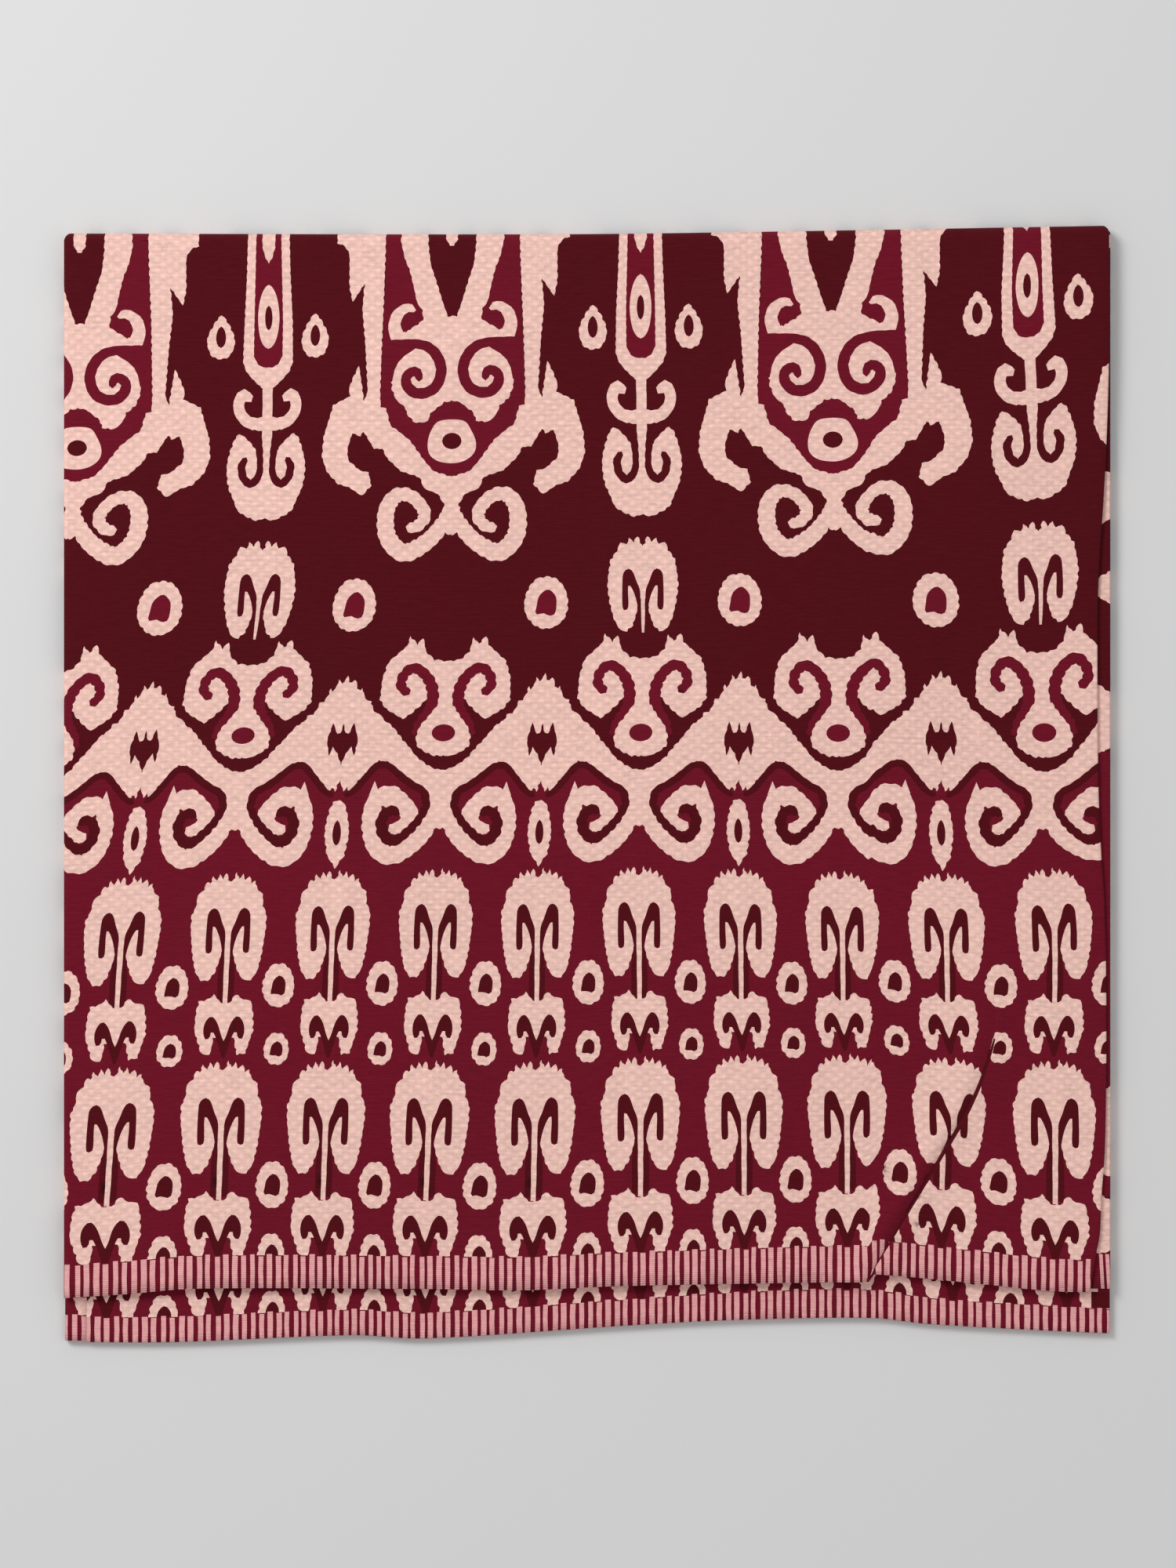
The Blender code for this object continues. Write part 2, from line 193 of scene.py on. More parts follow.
def walk(points, pitch=TOOTH_PITCH):
    """Even places along the straight runs of a closed outline, with its corners kept."""
    points = np.array(points, float)
    places = []
    for a, b in zip(points, np.roll(points, -1, axis=0)):
        count = max(1, round(float(np.hypot(*(b - a))) / pitch))
        places += [a + (b - a) * k / count for k in range(count)]
    return np.array(places)


def curve(points, closed=True, pitch=TOOTH_PITCH):
    """Even places on a smooth curve through points. A third number of a point, a width, goes along."""
    p = np.array(points, float)
    n = len(p)
    dense = []
    for k in range(n if closed else n - 1):
        if closed:
            a, b, c, d = p[k - 1], p[k], p[(k + 1) % n], p[(k + 2) % n]
        else:
            a, b, c, d = p[max(k - 1, 0)], p[k], p[k + 1], p[min(k + 2, n - 1)]
        for t in np.arange(0, 1, 0.1):
            bend = (2 * a - 5 * b + 4 * c - d) * t**2 + (3 * b - a - 3 * c + d) * t**3
            dense.append((2 * b + (c - a) * t + bend) / 2)
    dense.append(p[0] if closed else p[-1])
    dense = np.array(dense)
    gone = np.concatenate([[0], np.cumsum(np.hypot(*np.diff(dense[:, :2], axis=0).T))])
    count = max(4, 2 * round(float(gone[-1]) / pitch / 2))
    at = np.linspace(0, gone[-1], count + 1)
    places = np.stack([np.interp(at, gone, column) for column in dense.T], 1)
    return places[:-1] if closed else places


def normals(places, closed):
    """Unit steps square to a line of places."""
    if closed:
        run = np.roll(places, -1, axis=0) - np.roll(places, 1, axis=0)
    else:
        run = np.gradient(places, axis=0)
    run = run[:, :2]
    length = np.maximum(np.hypot(*run.T), 1e-9)
    return np.stack([run[:, 1], -run[:, 0]], 1) / length[:, None]


def toothed(outline, depth=TOOTH_DEPTH):
    """The small scallops of tied and dyed yarn along an edge: two places out, then one in."""
    along = np.arange(len(outline))
    size = depth * np.array([0.9, 0.6, -1.0])[along % 3] * (0.8 + 0.35 * np.sin(along * 0.43))
    return outline + normals(outline, True) * size[:, None]


def band(points, depth=0.3):
    """A line drawn with a round-ended brush: points are across, down and width."""
    middle = curve(points, closed=False, pitch=TOOTH_PITCH if depth > 0.5 else SMOOTH_PITCH)
    side = normals(middle, False)
    half = middle[:, 2:3] / 2
    right = middle[:, :2] + side * half
    left = middle[:, :2] - side * half
    caps = []
    for end, turn in ((-1, 1), (0, -1)):
        run = np.array([-side[end][1], side[end][0]]) * turn
        caps.append([middle[end][:2] + run * half[end] * 0.8])
    return toothed(np.concatenate([right, caps[0], left[::-1], caps[1]]), depth)


def oval(across, down, half_width, half_height, point=0.0):
    """An oval whose top may be drawn up to a point."""
    turn = np.linspace(0, 2 * math.pi, 8, endpoint=False)
    xs = across + half_width * np.sin(turn)
    ys = down - half_height * np.cos(turn)
    ys[0] -= point * half_height
    return curve(np.stack([xs, ys], 1), pitch=SMOOTH_PITCH)


def mirrored(outline):
    """The other half of a symmetrical outline."""
    return (np.array(outline, float) * (-1, 1))[::-1]


def whole(half, rounded=False, depth=TOOTH_DEPTH, pitch=TOOTH_PITCH):
    """A symmetrical outline from its right half, given from top to bottom."""
    half = np.array(half, float)
    outline = np.concatenate([half, mirrored(half)])
    return toothed(curve(outline) if rounded else walk(outline, pitch=pitch), depth)


def pair(yarn, outline):
    """A patch and its mirror image."""
    return [(yarn, outline), (yarn, mirrored(outline))]


def shield(across, down, half_width, half_height):
    """A dark spot with a dent in its top."""
    shape = [(-0.35, -0.8), (0.25, -1), (0.9, -0.5), (1, 0.1), (0.85, 0.85), (0.3, 1), (-0.2, 0.8),
             (-1, 0.85), (-0.9, 0.2), (-0.75, -0.4)]
    return curve(np.array(shape) * (half_width, half_height) + (across, down), pitch=SMOOTH_PITCH)


def horned_figure():
    """The tall figure that hangs from the top fold: bars with arms, a V, a masked head and scrolls."""
    panel = [(0, CREST), (86, CREST), (88, 60), (91, 131), (97, 221), (60, 280), (35, 305), (0, 330)]
    horn = [(86, CREST), (151, CREST), (151, 4), (141, 8), (135, 19), (135, 60), (131, 80), (115, 57),
            (118, 91), (114, 131), (110, 198), (115, 211), (122, 163), (130, 180), (135, 194),
            (133, 203), (155, 214), (167, 255), (169, 282), (162, 302), (147, 318), (133, 322),
            (116, 333), (104, 320), (108, 303), (119, 301), (135, 287), (136, 272), (130, 252),
            (119, 256), (115, 250), (101, 273), (90, 273), (84, 285), (66, 302), (41, 310), (35, 324),
            (17, 331), (8, 346), (-1, 346), (-1, 310), (23, 303), (35, 290), (54, 264), (72, 249),
            (80, 244), (86, 221), (93, 219), (94, 200), (92, 131), (88, 30)]
    arm_of_v = [(32, CREST), (64, CREST), (67, 6), (62, 28), (55, 45), (50, 66), (46, 85), (39, 95),
                (37, 112), (-1, 114), (-1, 109), (6, 104), (12.5, 86), (20, 62), (28, 38), (31, 14)]
    inside_v = [(0, CREST), (38, CREST), (36, 20), (24, 62), (8, 108), (0, 112)]
    mask = [(0, 104), (36, 107), (45, 113), (55, 119), (64, 122), (77, 128), (79, 145), (77, 168),
            (79, 184), (78, 197), (72, 211), (61, 220), (58, 229), (50, 239), (42, 241), (31, 239),
            (28, 229), (19, 222), (10, 215), (0, 213)]
    ear = [(68, 134, 20), (75, 118, 17), (73, 103, 16), (63, 94, 15), (53, 94, 14)]
    under_ear = [(44, 104, 13), (56, 103, 12), (62, 109, 11), (61, 119, 9)]
    eye = [(84, 138, 14), (66, 138, 13), (48, 138, 12), (31, 143, 13), (19, 156, 14), (14, 174, 14),
           (20, 193, 14), (33, 202, 14), (48, 202, 14), (58, 193, 14), (60, 182, 13), (52, 174, 13),
           (44, 177, 12), (43, 184, 9)]
    brow = [(90, 132), (72, 140), (56, 141), (42, 140), (52, 147), (62, 153), (70, 161), (75, 171),
            (78, 186), (90, 190)]
    notch = [(-9, CREST), (9, CREST), (7, 6), (2, 14), (-3, 14), (-8, 5)]
    ring_of_snout = [(-15, 239), (14, 239), (25, 252), (31, 268), (28, 281), (16, 290), (0, 293),
                     (-18, 290), (-29, 281), (-31, 266), (-26, 250)]
    scroll = [(0, 350, 17), (11, 369, 19), (30, 391, 21), (56, 406, 23), (72, 399, 23), (83, 381, 22),
              (84, 354, 21), (76, 337, 19), (64, 331, 17), (48, 336, 16), (35, 352, 16), (36, 364, 15),
              (46, 373, 14), (54, 373, 12)]
    foot = [(0, 340), (11, 348), (14, 372), (6, 381), (0, 383)]
    return (
        [(CRIMSON, walk(np.concatenate([panel, mirrored(panel)]), pitch=STRAIGHT_PITCH))]
        + [(MAROON, walk(np.concatenate([inside_v, mirrored(inside_v)]), pitch=STRAIGHT_PITCH))]
        + pair(PINK, toothed(walk(horn), 0.7))
        + pair(PINK, toothed(walk(arm_of_v), 0.6))
        + [(PINK, toothed(walk(notch), 0.5)), (PINK, whole(mask))]
        + pair(PINK, band(ear))
        + pair(CRIMSON, band(under_ear, 0.5))
        + pair(CRIMSON, band(eye))
        + pair(CRIMSON, walk(brow, pitch=SMOOTH_PITCH))
        + [(PINK, curve(ring_of_snout)), (MAROON, oval(0, 265, 12.6, 10.5))]
        + pair(PINK, band(scroll, TOOTH_DEPTH))
        + [(PINK, whole(foot))]
    )


def column():
    """Between the figures: a barred pendant over a heart, with an oval at each side."""
    bar = [(0, CREST), (26, CREST), (28, 40), (31, 104), (32, 154), (28, 166), (20, 176), (8, 188),
           (0, 190)]
    inside = [(0, CREST), (15.5, CREST), (18.5, 100), (18.5, 146), (13, 157), (6, 161), (0, 161)]
    point = [(0, CREST), (9, CREST), (8, 6), (4, 20), (0, 26)]
    stem = [(0, 184), (6.5, 186), (6.2, 236), (7.5, 300), (0, 300)]
    scroll = [(0, 236, 20), (-14, 237, 17), (-27, 232, 15), (-36, 219, 14), (-36, 205, 14),
              (-30, 197, 15), (-24, 203, 12)]
    heart = [(0, 294), (9, 288), (14, 272), (21, 262), (31, 252), (37, 251), (43, 262), (49, 284),
             (50, 300), (47, 321), (40, 338), (34, 352), (22, 360), (10, 365), (0, 362)]
    hook = [(15, 250, 16), (10, 268, 10), (8, 288, 8), (9, 305, 9), (18, 317, 11), (28, 310, 10),
            (31.5, 294, 10), (27, 284, 8)]
    egg = [(0, -28), (9, -17), (17, 0), (16, 14), (9, 26), (-7, 27), (-16, 15), (-17, 0), (-9, -18)]
    egg = np.array(egg, float) + (61, 121)
    return (
        [(PINK, whole(bar, depth=0.45)), (CRIMSON, whole(inside, depth=0.3))]
        + [(PINK, whole(point, depth=0.4))]
        + [(PINK, oval(0, 96, 13.8, 40, 0.06)), (MAROON, oval(0, 96, 4.8, 16))]
        + [(PINK, whole(heart, rounded=True)), (PINK, whole(stem, depth=0.2, pitch=STRAIGHT_PITCH))]
        + pair(PINK, band(scroll))
        + pair(MAROON, band(hook, 0.4))
        + pair(PINK, toothed(curve(egg), 0.9))
        + pair(MAROON, oval(61, 121, 6.4, 13.5, 0.1))
    )


def ring(down, half_width, half_height, eye_width, eye_height, yarn=MAROON):
    """A slightly angular oval with a dark spot in it."""
    shape = [(-0.4, -0.98), (0.35, -1), (0.85, -0.55), (1, 0.1), (0.8, 0.68), (0.25, 1), (-0.4, 0.95),
             (-0.9, 0.5), (-1, -0.05), (-0.8, -0.6)]
    outline = np.array(shape) * (half_width, half_height) + (0, down)
    return [(PINK, toothed(curve(outline), 0.9)), (yarn, shield(0, down, eye_width, eye_height))]


HOOK = [(20, 47), (27, 52), (29, 64), (29, 104), (24.5, 109), (20.5, 104), (21, 80), (20, 71), (15, 78),
        (10, 92), (6.5, 112), (5, 135), (2.5, 135), (3.5, 100), (4, 80), (9, 66), (14, 52)]


def toadstool(across, down):
    """A small spiked cap on a thin stem, with a hook in each half, scaled across and down."""
    cap = [(0, 12), (3.5, 9), (7, -1), (11, 8), (16, 1), (19, 10), (25, 4), (28, 14), (33, 11), (36, 22),
           (44, 29), (45, 45), (50, 56), (50, 76), (46, 110), (41, 134), (33, 146), (24, 146), (16, 136),
           (10, 118), (6, 100), (5, 90), (0, 90)]
    bar = [(3, 90), (9, 112), (11, 135), (11, 176), (3, 176)]
    stem = [(0, 84), (3.6, 86), (3, 180), (0, 180)]
    patches = pair(MAROON, walk(bar, pitch=STRAIGHT_PITCH))
    patches += [(PINK, whole(cap, depth=0.8))] + pair(MAROON, curve(HOOK, pitch=SMOOTH_PITCH))
    patches += [(PINK, whole(stem, depth=0.2, pitch=STRAIGHT_PITCH))]
    return [(yarn, outline * (across, down)) for yarn, outline in patches]


def crab(across, down):
    """A squat figure under each toadstool, with a hook in each half and two feet, scaled alike."""
    body = [(0, 8), (5, 9), (10, 2), (14, -3), (18, 2), (26, 5), (32, 6), (35, 22), (36, 44), (31, 60),
            (27, 74), (17, 76), (14.5, 66), (13, 54), (6, 52), (0, 60)]
    hook = [(14.5, 26), (20, 28), (24.5, 37), (25, 48), (22, 56), (17, 53), (15.6, 46), (12, 48), (7, 62),
            (2, 79), (-1, 80), (-1, 62), (3, 51), (8, 35)]
    patches = [(PINK, whole(body))] + pair(MAROON, curve(hook, pitch=SMOOTH_PITCH))
    return [(yarn, outline * (across, down)) for yarn, outline in patches]


def topped_toadstool():
    """The larger one that stands alone under each column."""
    cap = [(0, 12), (3, 7), (6, -2), (11, 6), (17, 1), (20, 9), (28, 6), (32, 17), (40, 28), (43, 48),
           (44, 62), (41, 84), (36, 104), (28, 118), (20, 119), (13, 112), (8, 96), (5, 78), (0, 78)]
    stem = [(0, 70), (2.8, 72), (1.6, 121), (0, 121)]
    hook = np.array(HOOK) * (0.88, 0.85)
    return (
        [(PINK, whole(cap, depth=0.9))]
        + pair(MAROON, curve(hook, pitch=SMOOTH_PITCH))
        + [(PINK, whole(stem, depth=0.2, pitch=STRAIGHT_PITCH))]
    )


def ram_head():
    """A horned head between the peaks of the zigzag."""
    head = [(0, 545), (16, 543), (27, 533), (31, 516), (38, 524), (47, 514), (50, 525), (60, 534),
            (72, 545), (78, 566), (79, 594), (71, 606), (59, 614), (50, 620), (41, 613), (30, 602),
            (22, 592), (12, 592), (10, 608), (0, 610)]
    nose = [(0, 600), (11, 604), (20, 618), (29, 630), (33, 644), (31, 656), (20, 664), (10, 668),
            (0, 668)]
    channel = [(36, 640, 5), (30, 625, 10), (20, 611, 13), (15.4, 594, 14), (18.3, 575, 14),
               (28, 560, 13), (41, 553, 13), (52, 561, 12), (55, 575, 12), (47, 585, 11)]
    return (
        [(PINK, whole(head))]
        + pair(CRIMSON, band(channel, 0.9))
        + [(PINK, whole(nose)), (CRIMSON, oval(0, 638.5, 14.4, 11.3))]
    )


QUARTER = REPEAT / 4


def zigzag():
    """The great zigzag between the maroon and the crimson ground, about one of its peaks."""
    end = QUARTER + 3
    upper = [(0, 561), (3, 569), (6, 571), (10, 566), (13, 578), (17, 581), (19, 578), (22, 588),
             (26, 595), (31, 596), (33, 605), (38, 612), (44, 614), (48, 622), (56, 627), (64, 637),
             (72, 648), (81, 658), (88, 668), (96, 675), (108, 683), (end, 687)]
    lower = [(end, 740), (112, 730), (104, 720), (90, 708), (75, 692), (58, 676), (45, 674), (32, 687),
             (19, 702), (12, 712), (9, 706), (5, 711), (0, 697)]
    rim = [(8, 716, 6), (19, 709, 8), (32, 693, 8), (44, 680, 9), (57, 681, 8), (74, 695, 9),
           (88, 705, 9), (98, 710, 9), (103, 720, 9)]
    mark = [(0, 626), (3, 638), (7, 639), (12.5, 624), (18.5, 647), (15, 668), (11, 656), (5, 665),
            (0, 679)]
    pendant = [(0, 722), (6, 724), (10, 734), (13.5, 752), (14, 765), (11, 782), (10, 790), (5, 797),
               (0, 807)]
    return (
        [(PINK, whole(upper + lower))]
        + pair(MAROON, band(rim))
        + [(MAROON, whole(mark, depth=0.5))]
        + [(PINK, whole(pendant)), (MAROON, oval(0, 762, 5, 15, 0.1))]
    )


def crossing_spirals():
    """A pair of spirals under each valley of the zigzag."""
    spiral = [(0, 728, 20), (8, 738, 21), (22, 764, 22), (40, 782, 24), (58, 791, 24), (73, 779, 23),
              (81, 752, 21), (79, 728, 20), (71, 717, 18), (58, 714, 18), (43, 724, 15), (32, 736, 12),
              (37, 745, 13), (49, 757, 14), (56, 754, 12)]
    hook = [(20, 711, 9), (17, 722, 9), (17, 730, 9), (23, 742, 9), (31, 753, 10), (43, 765, 11),
            (54, 772, 13), (64, 766, 13), (69, 753, 13), (67, 741, 12), (58, 734, 12), (51, 737, 10)]
    spike = [(72, 716), (79, 699), (85, 716)]
    middle = [(0, 712), (14, 720), (17, 738), (9, 752), (0, 757)]
    core = [(28, 736), (42, 723), (60, 714), (68, 728), (53, 735), (46, 744), (57, 752), (52, 764),
            (41, 757)]
    return (
        [(PINK, whole(middle, depth=0.3))]
        + pair(PINK, curve(core, pitch=SMOOTH_PITCH))
        + pair(PINK, band(spiral, TOOTH_DEPTH))
        + pair(PINK, walk(spike))
        + pair(MAROON, band(hook, 0.9))
    )


# The rows that the lower motifs hang from
HIGH_RING_ROW, TOPPED_ROW = 473, 392
CAP_ROW, CRAB_ROW, LOW_CAP_ROW, LOW_CRAB_ROW = 810, 968, 1053, 1225
# Rings between the caps: the row, half the width and height, and the same of the dark spot
RINGS = (
    (955, 18, 27, 8.4, 13),
    (1037, 14.2, 20, 7.4, 10),
    (1214, 18.5, 29, 9.4, 14.5),
    (1303, 15.5, 26, 8.4, 14),
)
# The edge: narrow stripes, straight as woven, over plain crimson that runs on past the hem
STRIPE = 9.92
STRIPE_HALF = 2.85
STRIPES_START = 1303
STRIPES_BEND = 1324
STRIPES_END = 1350
STRIPE_PITCH = 24
PAST_HEM = 1400
# The crimson ground starts under the zigzag, between its peaks and valleys
GROUND_PEAK = 640
GROUND_VALLEY = 700
GROUND_PITCH = 40


def chart():
    """All patches of the pattern as (yarn, outline) in steps, in painting order."""
    patches = []

    def stamp(motif, axis, down=0.0):
        for yarn, outline in motif:
            patches.append((yarn, outline + (axis, down)))

    columns = [n * REPEAT for n in range(-2, 3)]
    figures = [axis + REPEAT / 2 for axis in columns[:-1]]
    axes = sorted(columns + figures)
    peaks = [axis + QUARTER for axis in axes]
    made = {
        "zigzag": zigzag(), "figure": horned_figure(), "column": column(), "ram": ram_head(),
        "spirals": crossing_spirals(), "topped": topped_toadstool(),
        "high ring": ring(HIGH_RING_ROW, 27, 32, 13, 17, CRIMSON),
        "toadstool": toadstool(0.857, 0.94), "crab": crab(0.92, 1.0),
        "low toadstool": toadstool(0.905, 1.0), "low crab": crab(1.03, 1.04),
        "rings": [patch for row in RINGS for patch in ring(*row)],
    }
    ground = [(axis, GROUND_PEAK if axis in peaks else GROUND_VALLEY) for axis in sorted(axes + peaks)]
    ground += [(ground[-1][0], PAST_HEM), (ground[0][0], PAST_HEM)]
    patches.append((CRIMSON, walk(ground, pitch=GROUND_PITCH)))
    for axis in peaks:
        stamp(made["zigzag"], axis)
    for axis in figures:
        stamp(made["figure"], axis)
    for axis in columns:
        stamp(made["column"], axis)
        stamp(made["topped"], axis, TOPPED_ROW)
    for axis in axes:
        stamp(made["ram"], axis)
        stamp(made["spirals"], axis)
    for axis in peaks:
        stamp(made["high ring"], axis)
    for axis in sorted(axes + peaks):
        stamp(made["toadstool"], axis, CAP_ROW)
        stamp(made["crab"], axis, CRAB_ROW)
        stamp(made["low toadstool"], axis, LOW_CAP_ROW)
        stamp(made["low crab"], axis, LOW_CRAB_ROW)
        stamp(made["rings"], axis + QUARTER / 2)
    first, last = columns[0], columns[-1]
    edge = [(first, STRIPES_START), (last, STRIPES_START), (last, PAST_HEM), (first, PAST_HEM)]
    patches.append((CRIMSON, walk(edge, pitch=GROUND_PITCH)))
    for n in range(int((last - first) / STRIPE)):
        middle = first + (n + 0.5) * STRIPE + 0.5 * math.sin(n * 2.9)
        start = STRIPES_START + 1.6 * math.sin(n * 3.7)
        half = STRIPE_HALF + 0.3 * math.sin(n * 1.3)
        sway = 0.5 * math.sin(n * 2.1)
        stripe = [(-half, start), (half, start), (half + sway, STRIPES_BEND), (half, STRIPES_END),
                  (-half, STRIPES_END), (-half + sway, STRIPES_BEND)]
        patches.append((STRIPE_PINK, walk(np.array(stripe) + (middle, 0), pitch=STRIPE_PITCH)))
    return patches


PATCHES = chart()


def to_cloth(outline):
    """Chart places as places on the laid-out cloth, in millimetres across and down from the top fold."""
    across, down = outline.T
    off_across, off_down = (
        smooth(list(table), [smooth(REPEATS, row, across / REPEAT) for row in table.values()], down)
        for table in (OFF_ACROSS, OFF_DOWN)
    )
    return np.stack([COLUMN_AXIS / STEP + across + off_across, down + off_down], 1) * STEP / MM


def inside(outline, places):
    """Which places a closed outline winds round."""
    x, y = places[:, :, None].transpose(1, 0, 2)
    x1, y1 = outline.T
    x0, y0 = np.roll(outline, 1, axis=0).T
    crosses = (y0 > y) != (y1 > y)
    rise = np.where(y1 == y0, 1.0, y1 - y0)
    left_of = x < (x1 - x0) * (y - y0) / rise + x0
    return (np.where(y1 > y0, 1, -1) * (crosses & left_of)).sum(1) != 0


def yarn_of(places, patches):
    """The yarn at each place: that of the last patch painted over it."""
    yarn = np.full(len(places), MAROON)
    for colour, outline in patches:
        low, high = outline.min(0), outline.max(0)
        near = np.nonzero(((places >= low) & (places <= high)).all(1))[0]
        if len(near):
            yarn[near[inside(outline, places[near])]] = colour
    return yarn


# What counts as one point, and as no triangle at all, on the laid-out cloth in millimetres
WELD = 1e-3
SLIVER = 1e-4


def patterned_sheet(name, patches, across, down, lines, spread, fold):
    """A sheet cut along its pattern, with extra lines where it folds, then folded into place.

    across and down are its edges on the laid-out cloth in metres. lines, and spread, which spaces the other
    points, are in millimetres. fold takes places in metres to their points in the stack.
    """
    left, right = (edge / MM for edge in across)
    top, bottom = (edge / MM for edge in down)
    points = []
    edges = []

    def add_line(places, closed):
        first = len(points)
        points.extend(Vector(place) for place in places)
        count = len(places)
        edges.extend((first + k, first + (k + 1) % count) for k in range(count if closed else count - 1))

    rim = walk([(left, top), (right, top), (right, bottom), (left, bottom)], pitch=spread)
    add_line(rim, True)
    for _, outline in patches:
        low, high = outline.min(0), outline.max(0)
        if high[0] > left and low[0] < right and high[1] > top and low[1] < bottom:
            inner = np.clip(outline, (left, top), (right, bottom))
            add_line(inner, True)
    for line in lines:
        add_line(line, False)
    columns = round((right - left) / spread)
    rows = round((bottom - top) / spread)
    for j in range(1, rows):
        for i in range(1, columns):
            shift = 0.5 * (j % 2)
            points.append(Vector((left + (i + shift - 0.25) * spread, top + j * spread)))
    made = delaunay_2d_cdt(points, edges, [], 0, WELD)
    places = np.array([tuple(v) for v in made[0]])
    triangles = np.array([t for t in made[2] if len(t) == 3])
    corners = places[triangles]
    area = np.cross(corners[:, 1] - corners[:, 0], corners[:, 2] - corners[:, 0])
    middle = corners.mean(1)
    kept = (np.abs(area) > SLIVER) & (middle > (left, top)).all(1) & (middle < (right, bottom)).all(1)
    triangles = np.where((area > 0)[:, None], triangles[:, ::-1], triangles)[kept]
    yarn = yarn_of(middle[kept], patches)
    used, index = np.unique(triangles, return_inverse=True)
    places = places[used]
    triangles = index.reshape(-1, 3)
    mesh = bpy.data.meshes.new(name)
    mesh.from_pydata(fold(*places.T * MM).tolist(), [], triangles.tolist())
    mesh.attributes.new("yarn", "FLOAT", "FACE").data.foreach_set("value", yarn.astype(np.float32))
    threads = mesh.uv_layers.new(name="threads")
    corner_places = places[triangles.reshape(-1)] * MM
    threads.data.foreach_set("uv", corner_places.astype(np.float32).reshape(-1))
    sheet = bpy.data.objects.new(name, mesh)
    bpy.context.scene.collection.objects.link(sheet)
    mesh.shade_smooth()
    return sheet


def give_wall(sheet):
    """Gives a sheet its thickness, half to each side."""
    wall = sheet.modifiers.new("wall", "SOLIDIFY")
    wall.thickness = SHOWN_WALL
    wall.offset = 0
    wall.use_even_offset = False
    with bpy.context.temp_override(object=sheet, active_object=sheet):
        bpy.ops.object.modifier_apply(modifier=wall.name)


def depth_of(layer):
    """How deep the middle of a layer lies under the stack's own face."""
    return WALL / 2 + layer * PITCH


def fold_line(across):
    """Where the stack starts to turn over the top fold."""
    return level_mm(TOP_FOLD, across) - HALF_STACK


def front_hem(across):
    """The front hem's level, which steps at the tuck."""
    left = level_mm(FRONT_HEM_LEFT_OF_TUCK, across)
    right = level_mm(FRONT_HEM_RIGHT_OF_TUCK, across)
    start = FRONT_HEM_LEFT_OF_TUCK[-1][0] * MM
    end = FRONT_HEM_RIGHT_OF_TUCK[0][0] * MM
    return left + (right - left) * np.clip((across - start) / (end - start), 0, 1)


CHART_LENGTH = CHART_ROWS * STEP


def run_of(down):
    """A place down the chart as one along the stack's path: 0.5 on the top fold's crest, -1 at the hem."""
    turn = np.arcsin(np.clip(1 - down / HALF_STACK, 0, 1)) / math.pi
    return np.where(down < HALF_STACK, turn, -(down - HALF_STACK) / (CHART_LENGTH - HALF_STACK))


def place(across, run, depth, hem, inset=0.0):
    """Points of the folded stack. Run is -1 at the front hem, 0 to 1 round the top fold, 2 at the rear."""
    across, run, depth = np.broadcast_arrays(across, run, depth)
    start = fold_line(across)
    radius = HALF_STACK - depth
    angle = math.pi * np.clip(run, 0, 1)
    flat = np.where(run <= 0, -run, np.maximum(run - 1, 0))
    y = start + radius * np.sin(angle) + flat * (hem(across) + inset - start)
    return np.stack([across, y, HALF_STACK + radius * np.cos(angle)], 1)


def corner_inset(across, y):
    """How far the side edges draw in beside the top fold."""
    short = np.maximum(0, 1 - (level_mm(TOP_FOLD, across) - y) / CORNER_ROUNDING)
    return CORNER_DEPTH * short**2


def side_fold_start(y):
    """Where the front cloth's side fold starts to turn."""
    edge = RIGHT - level_mm(SIDE_FOLD_INSET, y) - corner_inset(RIGHT, y)
    return edge - SIDE_FOLD_RADIUS - WALL / 2


def left_fold_start(y):
    """The same at the left fold, which the whole stack shares."""
    return LEFT + 0.5 * corner_inset(LEFT, y) + LEFT_FOLD_RADIUS + WALL / 2


def turned(beyond, radius):
    """Reach and drop of cloth that runs on past the start of a fold, and none before it."""
    arc = math.pi * radius
    angle = np.clip(beyond / radius, 0, math.pi)
    reach = radius * np.sin(angle) - np.maximum(beyond - arc, 0)
    return reach, radius * (1 - np.cos(angle))


def turn_left(x, start, radius=SIDE_FOLD_RADIUS):
    """Turns what lies past a left fold's start, and gives the places across and the drops."""
    reach, drop = turned(start - x, radius)
    return np.maximum(x, start) - reach, drop


def turn_right(x, start):
    """The same for a right fold."""
    reach, drop = turned(x - start, SIDE_FOLD_RADIUS)
    return np.minimum(x, start) + reach, drop


# Soft waves, and creases as a depth, a width and a line of places across and in Y, all in millimetres
WAVE_HEIGHT = 0.45 * MM
WAVE_ACROSS = 190 * MM
WAVE_ALONG = 260 * MM
WAVE_FADE = 45 * MM
CREASES = (
    (0.70, 2.4, ((-122, 222), (-131, 197), (-139, 172), (-163, 127))),
    (0.60, 2.4, ((213, 228), (210, 215), (202, 195))),
    (0.70, 3.5, ((207, -78), (205, -100), (209, -122))),
    (-0.35, 5.0, ((216, -76), (215, -100), (220, -120))),
    (0.22, 4.0, ((-60, 60), (10, 52), (90, 58))),
    (0.25, 5.0, ((-230, -150), (-150, -162), (-40, -158))),
    (-0.25, 6.0, ((-250, 40), (-180, -40), (-160, -120))),
    (0.20, 5.0, ((60, -40), (66, -130), (58, -215))),
)


def from_line(line, x, y):
    """How far places are from a line of places."""
    nearest = np.full(len(x), 1e9)
    for (ax, ay), (bx, by) in zip(line, line[1:]):
        dx, dy = bx - ax, by - ay
        t = np.clip(((x - ax) * dx + (y - ay) * dy) / (dx * dx + dy * dy), 0, 1)
        nearest = np.minimum(nearest, np.hypot(x - ax - t * dx, y - ay - t * dy))
    return nearest


